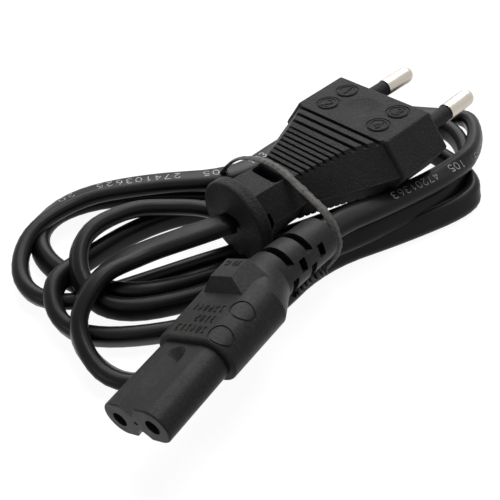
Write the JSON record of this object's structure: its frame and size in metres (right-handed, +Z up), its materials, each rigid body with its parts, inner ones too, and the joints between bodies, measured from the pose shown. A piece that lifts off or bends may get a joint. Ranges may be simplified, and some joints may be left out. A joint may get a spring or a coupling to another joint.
{
  "type": "figure eight power lead",
  "caption": "Mains lead: flat cable in a loose hank held by a wire tie, with a flat two-pin plug at one end and a figure eight connector at the other.",
  "frame": {"origin": "centre of the plug's, connector's and tie's common bounding box, on the surface the lead lies on", "axes": "+Z up from that surface; +X to the right as the picture shows it; +Y away from the viewer"},
  "size_m": [0.1065, 0.1093, 0.0249],
  "materials": {
    "moulding": "matt grained PVC",
    "nose": "satin hard PVC",
    "jacket": "satin PVC jacket",
    "pin_metal": "nickel plated, satin",
    "contact_metal": "plain brass",
    "copper": "bare copper strands",
    "core_brown": "brown insulation",
    "core_blue": "blue insulation",
    "bridge": "hard moulded bridge",
    "tie_cover": "grey covered strip",
    "tie_wire": "soft iron wire"
  },
  "bodies": {
    "root": {"plug_body": "moulding", "plug_pin_bridge": "bridge", "plug_pin_1": "pin_metal", "plug_pin_2": "pin_metal", "pin_sleeve_1": "moulding", "pin_sleeve_2": "moulding", "plug_core_1": "core_brown", "plug_core_2": "core_blue", "plug_strands_1": "copper", "plug_strands_2": "copper", "connector_body": "moulding", "connector_insert": "nose", "socket_contact_1": "contact_metal", "socket_contact_2": "contact_metal", "connector_core_1": "core_brown", "connector_core_2": "core_blue", "connector_strands_1": "copper", "connector_strands_2": "copper", "cable": "jacket", "tie_ribbon": "tie_cover", "tie_wire": "tie_wire", "tie_tail": "tie_cover"}
  },
  "joints": []
}
